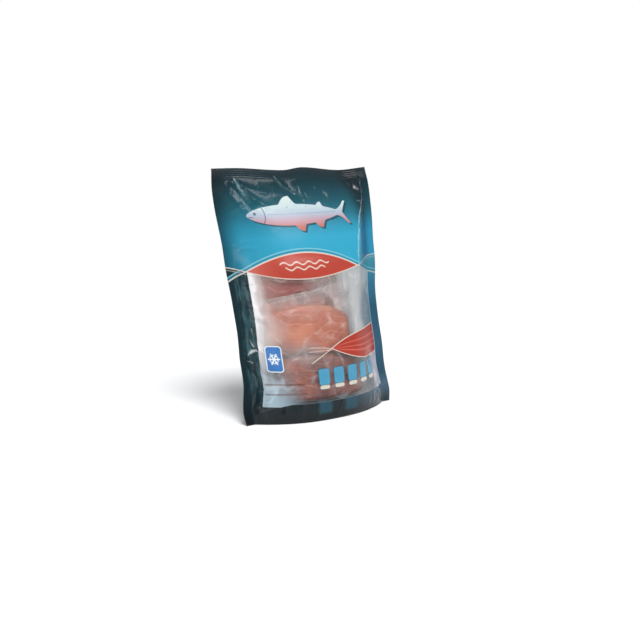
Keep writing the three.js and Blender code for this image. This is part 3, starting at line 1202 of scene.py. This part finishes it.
def front_print(vector, u, z):
    """The print of the front, laid from the ground up, with painted shade, reflections and highlights."""
    upper, lower = lens_curves(u)
    edge = window_edge(u, z)
    patches = [rounded_box(u, z, middle, FOOT_PATCH_HALF, FOOT_PATCH_CORNER) for middle in FOOT_PATCHES]
    places = {
        "u": u,
        "z": z,
        "streak": speckle(vector, 0.16, 3.0, 0.6, stretch=(1.6, 0.3, 1.0)),
        "foot_patch": smaller(*patches),
        "lens_spot": distance((u - LENS_SPOT[0]) / LENS_SPOT_STRETCH, z - LENS_SPOT[1]),
    }
    # Border and sky, with their painted reflection, highlights and shade
    border = layered(BORDER_STOPS, BORDER_LAYERS, places)
    sky = layered(SKY_STOPS, SKY_LAYERS, places)
    ink = Print(paint(border, sky, inside(larger(upper, lower) - z)), outside(edge))

    in_lens = inside(z - upper) * inside(lower - z)
    glow = larger(*(soft_field(places, spans) for spans in LENS_GLOWS))
    ink.lay(paint(LENS_RED, LENS_RED_LIGHT, glow), in_lens, cover=in_lens)
    lines, second, gap = curve_lines(z, upper, lower)
    flank_fade = ramp(u, *FLANK_FADE)
    ink.lay(GAP_TEAL, gap * flank_fade * GAP_STRENGTH)
    ink.lay(LINE_CYAN, second * flank_fade * SECOND_STRENGTH, cover=second * LINE_STRENGTH)
    ink.lay(CREAM, lines * flank_fade * LINE_STRENGTH, cover=lines * LINE_STRENGTH)
    ink.lay(CREAM, wave_lines(u, z) * LINE_STRENGTH)
    lay_fish(ink, vector, u, z)
    lay_badge(ink, u, z)
    lay_tabs(ink, u, z)
    lay_ribbon(ink, u, z, inside(edge))
    lay_rules(ink, u, z)
    line = stroke(u - WINDOW_RIGHT, WINDOW_LINE_WIDTH) * inside(z - smaller(upper, lower))
    line = line * inside(WINDOW_FOOT - z) * WINDOW_LINE_STRENGTH
    ink.lay(WINDOW_LINE, line, cover=line)
    # Painted highlights along the creases
    lay_painted_crease_highlights(ink, vector, u, z)
    return ink


def sign_figures(u, z):
    """Distances outside an ice crystal, a plate and a pan, one below another."""
    crystal, plate, pan = [(u - SIGN_PLACE, z - height) for height in SIGN_HEIGHTS]
    rings = [abs(distance(*plate) - radius) - width / 2 for radius, width in PLATE_RINGS]
    return [
        snowflake(*crystal, *SIGN_CRYSTAL),
        smaller(*rings),
        smaller(distance(*pan) - PAN_RADIUS, rounded_box(*pan, *PAN_HANDLE)),
    ]


def lay_table(ink, u, z):
    """A blank table with a header, every other row shaded, and thin rules."""
    header = rounded_box(u, z, HEADER_MIDDLE, HEADER_HALF, TABLE_CORNER)
    ink.lay(TAB_BLUE, inside(header))
    table = rounded_box(u, z, TABLE_MIDDLE, TABLE_HALF, TABLE_CORNER)
    pitch = 2 * TABLE_HALF[1] / TABLE_ROWS
    height = z - (TABLE_MIDDLE[1] - TABLE_HALF[1])
    odd = calculate("PINGPONG", height, pitch) / pitch
    ruled = larger(inside(calculate("PINGPONG", height, pitch / 2) - 0.25), stroke(u - TABLE_COLUMN, 0.5))
    ink.lay(TABLE_GREY, ramp(odd, 0.45, 0.55, 0.0, 0.15) * inside(table))
    ink.lay(TABLE_GREY, larger(ruled * inside(table), stroke(table, 0.7)) * 0.8)


def back_print(u, z):
    """The front's curves, met at the seams, over a pale panel for plain facts."""
    upper, lower = lens_curves(-u)
    above = inside(larger(upper, lower) - z)
    ink = Print(paint(colour_ramp(z, BORDER_STOPS), colour_ramp(z, SKY_STOPS), above))
    # Painted shade, darker towards both side seals
    ink.lay(BACK_SHADE, ramp(abs(u), *BACK_SHADE_SPAN))
    ink.lay(LENS_RED, inside(z - upper) * inside(lower - z))
    lines, second, gap = curve_lines(z, upper, lower)
    ink.lay(GAP_TEAL, gap * GAP_STRENGTH)
    ink.lay(LINE_CYAN, second * SECOND_STRENGTH)
    ink.lay(CREAM, larger(lines, wave_lines(-u, z)) * LINE_STRENGTH)
    facts = rounded_box(u, z, FACTS_MIDDLE, FACTS_HALF, FACTS_CORNER)
    below = inside(z - smaller(upper, lower) + FACTS_BELOW)
    ink.lay(CREAM, inside(facts - FACTS_RIM) * below)
    ink.lay(FACTS_WHITE, inside(facts) * below)
    lay_table(ink, u, z)
    for height, figure in zip(SIGN_HEIGHTS, sign_figures(u, z)):
        ink.lay(BADGE_BLUE, inside(rounded_box(u, z, (SIGN_PLACE, height), SIGN_HALF, SIGN_CORNER)))
        ink.lay(WHITE_PRINT, inside(figure))
    return ink


# Film
def clear_film_shader(normal, haze_share, haze_colour):
    """Clear film: see-through, with gloss and some milky haze."""
    tree = normal.id_data
    clear = add_node(tree, "BsdfTransparent", {"Color": CLEAR_TINT})
    finish = {"Base Color": haze_colour, "Roughness": CLEAR_ROUGHNESS, "Normal": normal}
    gloss = add_node(tree, "BsdfPrincipled", finish)
    slant = add_node(tree, "LayerWeight", {"Blend": 0.5, "Normal": normal})
    glance = calculate("POWER", Field(slant.outputs["Facing"]), GLANCE_POWER)
    mirror = glance * (1 - CLEAR_SHINE) + CLEAR_SHINE
    return mix_shaders(smaller(mirror + haze_share, 1.0), clear.outputs["BSDF"], gloss.outputs["BSDF"])


def window_haze_and_painted_light(vector, u, z):
    """Frost and milky slack film inside the window, with painted reflections and painted light on the shaded
    lining: how dense it is, and its colour.
    """
    cloud = speckle(vector, 0.05, 3.0)
    drift = (cloud - 0.5) * VEIL_DRIFT
    places = {
        "u": u,
        "z": z,
        "upright": speckle(vector, 0.12, 3.0, 0.55, stretch=(1.5, 0.25, 1.0)),
        "corner": distance(u - HAZE_CORNER[0], z - HAZE_CORNER[1]),
        "u_adrift": u + drift,
        "z_adrift": z + drift * 0.35,
        "u_flank": u + drift * 0.5,
        "z_flank": z + drift,
    }
    density = 0.0
    colour = HAZE_WHITE
    for ink, strength, spans in VEILS_AND_PAINTED_LIGHT:
        veil = soft_field(places, spans)
        if strength:
            density = larger(density, veil * strength)
        if ink:
            colour = paint(colour, ink, veil)
    # Thin pale lines on crinkles of the window film: painted highlights
    crease = ramp(crinkles(vector, 0.03), 0.93, 1.0) * ramp(cloud, 0.4, 0.6)
    density = density + cloud * ramp(z, *CLOUD_SPAN) + crease * 0.2
    return smaller(density, MOST_HAZE), colour


def film_bump(vector, u, z):
    """Fine film texture: slack ripples, and the ribs of the top and side seals."""
    slack = speckle(vector, 0.22, 3.0, 0.55)
    fine = speckle(vector, 0.9, 2.0, 0.5)
    turn = FULL_TURN / RIB_PITCH
    ribs = calculate("SINE", z * turn) * ramp(z, TOP_SEAL_START - RIB_EDGE, TOP_SEAL_START)
    side_ribs = calculate("SINE", u * turn) * ramp(abs(u), PANEL_HALF - RIB_EDGE, PANEL_HALF)
    return bump(slack * 0.8 + fine * 0.2 + ribs * 0.2 + side_ribs * 0.1, 0.24, 0.8)


def printed_finish(surface, vector, colour, normal):
    set_inputs(surface, {
        "Base Color": colour,
        "Roughness": speckle(vector, 0.08) * 0.1 + 0.15,
        "Specular IOR Level": PRINT_GLOSS,
        "Normal": normal,
    })


def front_film_material():
    material, surface, vector, u, z = film_material("front_print")
    ink = front_print(vector, u, z)
    normal = film_bump(vector, u, z)
    printed_finish(surface, vector, ink.colour, normal)
    # Clear window with frost, painted reflections and painted light
    window = clear_film_shader(normal, *window_haze_and_painted_light(vector, u, z))
    show(mix_shaders(ink.cover, window, surface.outputs["BSDF"]))
    return material


def back_film_material():
    material, surface, vector, u, z = film_material("back_print")
    printed_finish(surface, vector, back_print(u, z).colour, film_bump(vector, u, z))
    return material


def front_lining_material():
    material, surface, _, u, z = film_material("front_lining")
    set_inputs(surface, {"Base Color": FRONT_LINING, "Roughness": 0.4})
    clear = add_node(surface.id_data, "BsdfTransparent", {"Color": LINING_TINT})
    show(mix_shaders(outside(window_edge(u, z)), clear.outputs["BSDF"], surface.outputs["BSDF"]))
    return material


def mottled_film_material(name, first, second, scale, roughness):
    """Plain film whose colour drifts between two."""
    material, surface, vector, u, z = film_material(name)
    colour = paint(first, second, speckle(vector, scale, 3.0))
    set_inputs(surface, {"Base Color": colour, "Roughness": roughness, "Normal": film_bump(vector, u, z)})
    return material


def film_panel(name, grid, points, mirrored, materials):
    """A printed film from seal to seal, mirrored so that its faces point outwards."""
    mesh = grid_mesh(name, *grid)
    flat = vertex_places(mesh)
    u = np.round(flat[:, 0] * FILM_WIDTH * (-1 if mirrored else 1), 4)
    z = np.round((flat[:, 1] + 0.5) * POUCH_HEIGHT, 4)
    set_film_map(mesh, u, z)
    set_places(mesh, points(u, z))
    thicken(add_piece(name, mesh, materials), FILM_THICKNESS, 1)


def gusset_panel(materials):
    """The bottom film between the two foot lines, domed up into the pouch."""
    mesh = grid_mesh("gusset", *GUSSET_GRID)
    flat = vertex_places(mesh)
    u = np.round(flat[:, 0] * 2 * (PANEL_HALF - GUSSET_SHORT), 4)
    share = np.round(0.5 - flat[:, 1], 4)[:, None]
    zero = np.zeros_like(u)
    front = front_points(u, zero, fine=False) + (0, GUSSET_INSET, 0)
    back = back_points(u, zero, fine=False) - (0, GUSSET_INSET, 0)
    points = front + (back - front) * share
    open_share = (back[:, 1] - front[:, 1]) / (FRONT_BULGE[0][1] + BACK_BULGE[0][1])
    dome = (1 - (2 * share[:, 0] - 1) ** 2) * open_share
    points[:, 2] += GUSSET_LIFT + GUSSET_DOME * dome
    set_film_map(mesh, u, points[:, 1])
    set_places(mesh, points)
    thicken(add_piece("gusset", mesh, materials), FILM_THICKNESS, 1)


# Salmon portions and their sachets
def turned(middle, across, up, turn_deg):
    turn = math.radians(turn_deg)
    u = middle[0] + across * math.cos(turn) - up * math.sin(turn)
    z = middle[1] + across * math.sin(turn) + up * math.cos(turn)
    return u, z


def lumps(points, size, seed):
    return np.array([noise.noise((x / size + seed, y / size, z / size)) for x, y, z in points])


def salmon_material(portion):
    """Frozen flesh under clinging film: flakes, fibres, a pale upper rim, painted shade at its foot, a little
    frost and wet gloss.
    """
    deep, light, fat, frost_share = portion.flesh
    material, surface, vector, across, up = film_material(portion.name + "_flesh")
    place = add_node(surface.id_data, "TexCoord").outputs["Object"]
    rise = read_value(surface.id_data, "rise")
    flake_height = up + speckle(place, 34.0, 3.0) * FLAKE_WANDER
    for start, length, swing in FLAKE_BENDS:
        flake_height = flake_height + calculate("COSINE", (across - start) * (FULL_TURN / length)) * swing
    flakes = calculate("SINE", flake_height * (FULL_TURN / FLAKE_PITCH))
    blotch = speckle(place, 95.0, 4.0, 0.6)
    line = ramp(flakes + blotch * 0.3, *FAT_LINES) * ramp(speckle(place, 55.0, 3.0), *FAT_PATCHES)
    fibre = speckle(vector, 0.7, 3.0, 0.6, stretch=(0.35, 1.6, 1.0))
    tone = speckle(place, 24.0, 2.0, 0.5)
    colour = paint(deep, light, ramp(tone * 0.55 + blotch * 0.3 + fibre * 0.15, *LIGHT_TONES))
    colour = paint(colour, fat, line * 0.6)
    colour = paint(colour, fat, ramp(rise + blotch * 0.3, *FAT_RIM) * 0.5)
    # Deeper towards the right above the middle, and at the foot as painted shade
    right = ramp(across + blotch * 24.0, *DEEP_RIGHT) * ramp(up, *DEEP_ABOVE)
    colour = paint(colour, deep, larger(right, ramp(rise + blotch * 0.4, *FOOT_PAINTED_SHADE)))
    frost = ramp(speckle(place, 75.0, 5.0, 0.65), *FROST_PATCHES)
    colour = paint(colour, FROST_WHITE, frost * frost_share)
    cling = crinkles(vector, 0.055) * 0.7 + crinkles(vector, 0.16) * 0.3
    set_inputs(surface, {
        "Base Color": colour,
        "Roughness": 0.5 - line * 0.1,
        "Normal": bump(fibre * 0.5 + line * 0.5, 0.5, 0.7),
        "Subsurface Weight": 0.12,
        "Subsurface Radius": (0.006, 0.002, 0.001),
        "Subsurface Scale": 1.0,
        "Coat Weight": 0.5,
        "Coat Roughness": 0.12,
        "Coat Normal": bump(cling, 0.5, 1.6),
    })
    return material


def portion_piece(portion):
    """A block of fish with soft edges, bent to lie behind the front film."""
    bm = bmesh.new()
    bmesh.ops.create_cube(bm, size=2.0)
    bmesh.ops.subdivide_edges(bm, edges=bm.edges[:], cuts=PORTION_CUTS, use_grid_fill=True)
    mesh = to_mesh(portion.name, bm)
    cube = vertex_places(mesh)
    ball = cube / (np.abs(cube) ** PORTION_SQUARENESS).sum(1, keepdims=True) ** (1 / PORTION_SQUARENESS)
    a, b, c = ball.T
    across = a * portion.half[0]
    up = b * portion.half[1] + portion.arch * (ARCH_LEVEL - a * a) * (b + 1) / 2
    set_film_map(mesh, across, up)
    set_value(mesh, "rise", b)
    u, z = turned(portion.middle, across, up, portion.turn_deg)
    lump = portion.lumps * lumps(np.column_stack([u, z, c * portion.thickness]), LUMP_SIZE, portion.seed)
    thin = 1 - THIN_END * np.clip(a, 0, 1) ** 2
    depth = portion.gap + (c * thin + 1) * portion.thickness / 2 + FACE_LUMPS * lump
    set_places(mesh, behind_front(u + lump * a, z + lump * b, depth))
    piece = add_piece(portion.name, mesh, [salmon_material(portion)])
    rounding = piece.modifiers.new("rounding", "SUBSURF")
    rounding.levels = 1
    rounding.render_levels = 1


def trim(sheet, place, outward):
    """Cuts a sheet along a plane, and clears away what lies outward of it."""
    everything = sheet.verts[:] + sheet.edges[:] + sheet.faces[:]
    bmesh.ops.bisect_plane(sheet, geom=everything, plane_co=place, plane_no=outward, clear_outer=True)


def along_margin(portion, u, z):
    """Place across and up a portion's margin, from its middle."""
    return turned((0, 0), u - portion.middle[0], z - portion.middle[1], -portion.margin.turn_deg)


def flat_margin(portion, reach, foot):
    """A flat sheet in film millimetres, turned as it lies, trimmed to the pouch and open over the fish."""
    columns, rows = MARGIN_GRID
    sheet = bmesh.new()
    bmesh.ops.create_grid(sheet, x_segments=columns, y_segments=rows, size=0.5)
    bmesh.ops.scale(sheet, verts=sheet.verts, vec=(2 * reach[0], 2 * reach[1], 1))
    trim(sheet, (0, -foot, 0), (0, -1, 0))
    turn = Matrix.Rotation(math.radians(portion.margin.turn_deg), 3, "Z")
    bmesh.ops.rotate(sheet, verts=sheet.verts, cent=(0, 0, 0), matrix=turn)
    bmesh.ops.translate(sheet, verts=sheet.verts, vec=(*portion.middle, 0))
    trim(sheet, (MARGIN_LIMIT, 0, 0), (1, 0, 0))
    trim(sheet, (-MARGIN_LIMIT, 0, 0), (-1, 0, 0))
    trim(sheet, (0, portion.margin.lowest, 0), (0, -1, 0))
    hidden = []
    for vertex in sheet.verts:
        across, up = along_margin(portion, vertex.co.x, vertex.co.y)
        shares = (across / portion.half[0] / MARGIN_HOLE[0], up / portion.half[1] / MARGIN_HOLE[1])
        if shares[0] ** 4 + shares[1] ** 4 < 1:
            hidden.append(vertex)
    bmesh.ops.delete(sheet, geom=hidden, context="VERTS")
    return sheet


def margin_piece(portion, material):
    """The margin of clear film sealed round a portion, crinkled and folded."""
    half = portion.half
    reach = (half[0] + portion.margin.side, half[1] + portion.margin.top)
    foot = half[1] + portion.margin.foot
    mesh = to_mesh(portion.name + "_flange", flat_margin(portion, reach, foot))
    u, z, flat = vertex_places(mesh).T
    across, up = along_margin(portion, u, z)
    crinkle = lumps(np.column_stack([u, z, flat]), CRINKLE_SIZE, portion.seed + 0.5)
    cells = [noise.voronoi((p / FOLD_SIZE, q / FOLD_SIZE, portion.seed)) for p, q in zip(u, z)]
    fold = np.array([near[0] for near, _ in cells])
    outward = np.maximum(np.abs(across) / half[0], np.abs(up) / half[1]) - REST_START
    rest = portion.thickness * MARGIN_REST * np.clip(1 - outward / REST_RUN, LEAST_REST, 1)
    depth = portion.gap + rest + CRINKLE_RISE * crinkle + FOLD_RISE * (fold - FOLD_LEVEL)
    edges = [reach[0] - np.abs(across), reach[1] - up, up + foot, MARGIN_LIMIT - np.abs(u)]
    set_film_map(mesh, across, up)
    set_value(mesh, "rim", np.minimum.reduce(edges))
    set_places(mesh, behind_front(u, z, depth))
    thicken(add_piece(mesh.name, mesh, [material]), MARGIN_THICKNESS, 0)


def margin_material():
    """Slack clear film with crinkles, and a ribbed seal along its edge."""
    material, surface, vector, across, up = film_material("clear_flange")
    rim = read_value(surface.id_data, "rim")
    band = fade(rim, SEAL_BAND - SEAL_BAND_EDGE, SEAL_BAND + SEAL_BAND_EDGE)
    ribs = calculate("SINE", (across + up) * (FULL_TURN / SEAL_RIB_PITCH)) * 0.5 + 0.5
    ridge = crinkles(vector, 0.034)
    normal = bump(ridge * 0.85 + crinkles(vector, 0.1) * 0.15 + ribs * band * 0.1, 0.6, 2.4)
    cloud = speckle(vector, 0.03, 2.0)
    haze = cloud * 0.2 + ramp(ridge, 0.93, 1.0) * 0.14 + band * (ribs * 0.07 + 0.04) + 0.06
    show(clear_film_shader(normal, haze, MARGIN_HAZE))
    material.node_tree.nodes.remove(surface)
    return material


# Stage
def floor_piece():
    """A pale floor that fades into white further out."""
    mesh = grid_mesh("floor", 1, 1, FLOOR_REACH)
    material, surface = new_material("floor_paper")
    tree = surface.id_data
    set_inputs(surface, {"Base Color": FLOOR_WHITE, "Roughness": 0.8, "Specular IOR Level": 0.2})
    parts = add_node(tree, "SeparateXYZ", {"Vector": add_node(tree, "TexCoord").outputs["Object"]})
    away = distance(Field(parts.outputs["X"]), Field(parts.outputs["Y"]))
    seen = Field(add_node(tree, "LightPath").outputs["Is Camera Ray"])
    glow = add_node(tree, "Emission", {"Strength": seen * (1 - FAR_FLOOR_LIGHT) + FAR_FLOOR_LIGHT})
    show(mix_shaders(ramp(away, *FLOOR_FADE), surface.outputs["BSDF"], glow.outputs["Emission"]))
    mesh.materials.append(material)
    add_object("floor", mesh)


def room_light():
    """A dim room, white where the camera sees it."""
    world = bpy.data.worlds.new("studio")
    bpy.context.scene.world = world
    world.use_nodes = True
    tree = world.node_tree
    dim = tree.nodes["Background"]
    set_inputs(dim, {"Color": ROOM_TINT, "Strength": ROOM_LIGHT})
    white = add_node(tree, "Background", {"Color": PURE_WHITE})
    seen = add_node(tree, "LightPath").outputs["Is Camera Ray"]
    both = mix_shaders(seen, dim.outputs["Background"], white.outputs["Background"])
    feed(tree.nodes["World Output"].inputs["Surface"], both)


def add_light(name, kind, energy, place, aim=(0, 0, 0)):
    light = bpy.data.lights.new(name, kind)
    light.energy = energy
    holder = add_object(name, light)
    holder.location = place
    holder.rotation_euler = (Vector(aim) - Vector(place)).to_track_quat("-Z", "Y").to_euler()
    return light


def lights():
    """A soft sun and soft panels round the pack."""
    turn = math.radians(KEY_TURN_DEG)
    lift = math.radians(KEY_ELEVATION_DEG)
    toward = (math.sin(turn) * math.cos(lift), -math.cos(turn) * math.cos(lift), math.sin(lift))
    key = add_light("key", "SUN", KEY_STRENGTH, toward)
    key.angle = math.radians(KEY_SPREAD_DEG)
    for name, power, place, size in LIGHT_PANELS:
        panel = add_light(name, "AREA", power, place, LIGHT_AIM)
        panel.shape = "RECTANGLE"
        panel.size, panel.size_y = size


def camera():
    data = bpy.data.cameras.new("camera")
    data.lens = CAMERA_LENS
    data.sensor_width = SENSOR_WIDTH
    holder = add_object("camera", data)
    holder.location = (np.array(CAMERA_AT) + FOOT) * MM
    holder.rotation_euler = (math.radians(90 - CAMERA_PITCH_DEG), 0, math.radians(CAMERA_TURN_DEG))
    bpy.context.scene.camera = holder


front_film = front_film_material()
lining = mottled_film_material("lining", "#e6e9ea", "#f3f4f4", 0.06, 0.38)
film_panel("front_film", FRONT_GRID, front_points, False, [front_film, front_lining_material()])
film_panel("back_film", BACK_GRID, back_points, True, [back_film_material(), lining])
gusset_panel([mottled_film_material("gusset_film", "#232c31", "#2b3a41", 0.05, 0.3), lining])
clear_margin = margin_material()
for portion in PORTIONS:
    portion_piece(portion)
    margin_piece(portion, clear_margin)

floor_piece()
room_light()
lights()
camera()
bpy.context.scene.view_settings.view_transform = "Standard"
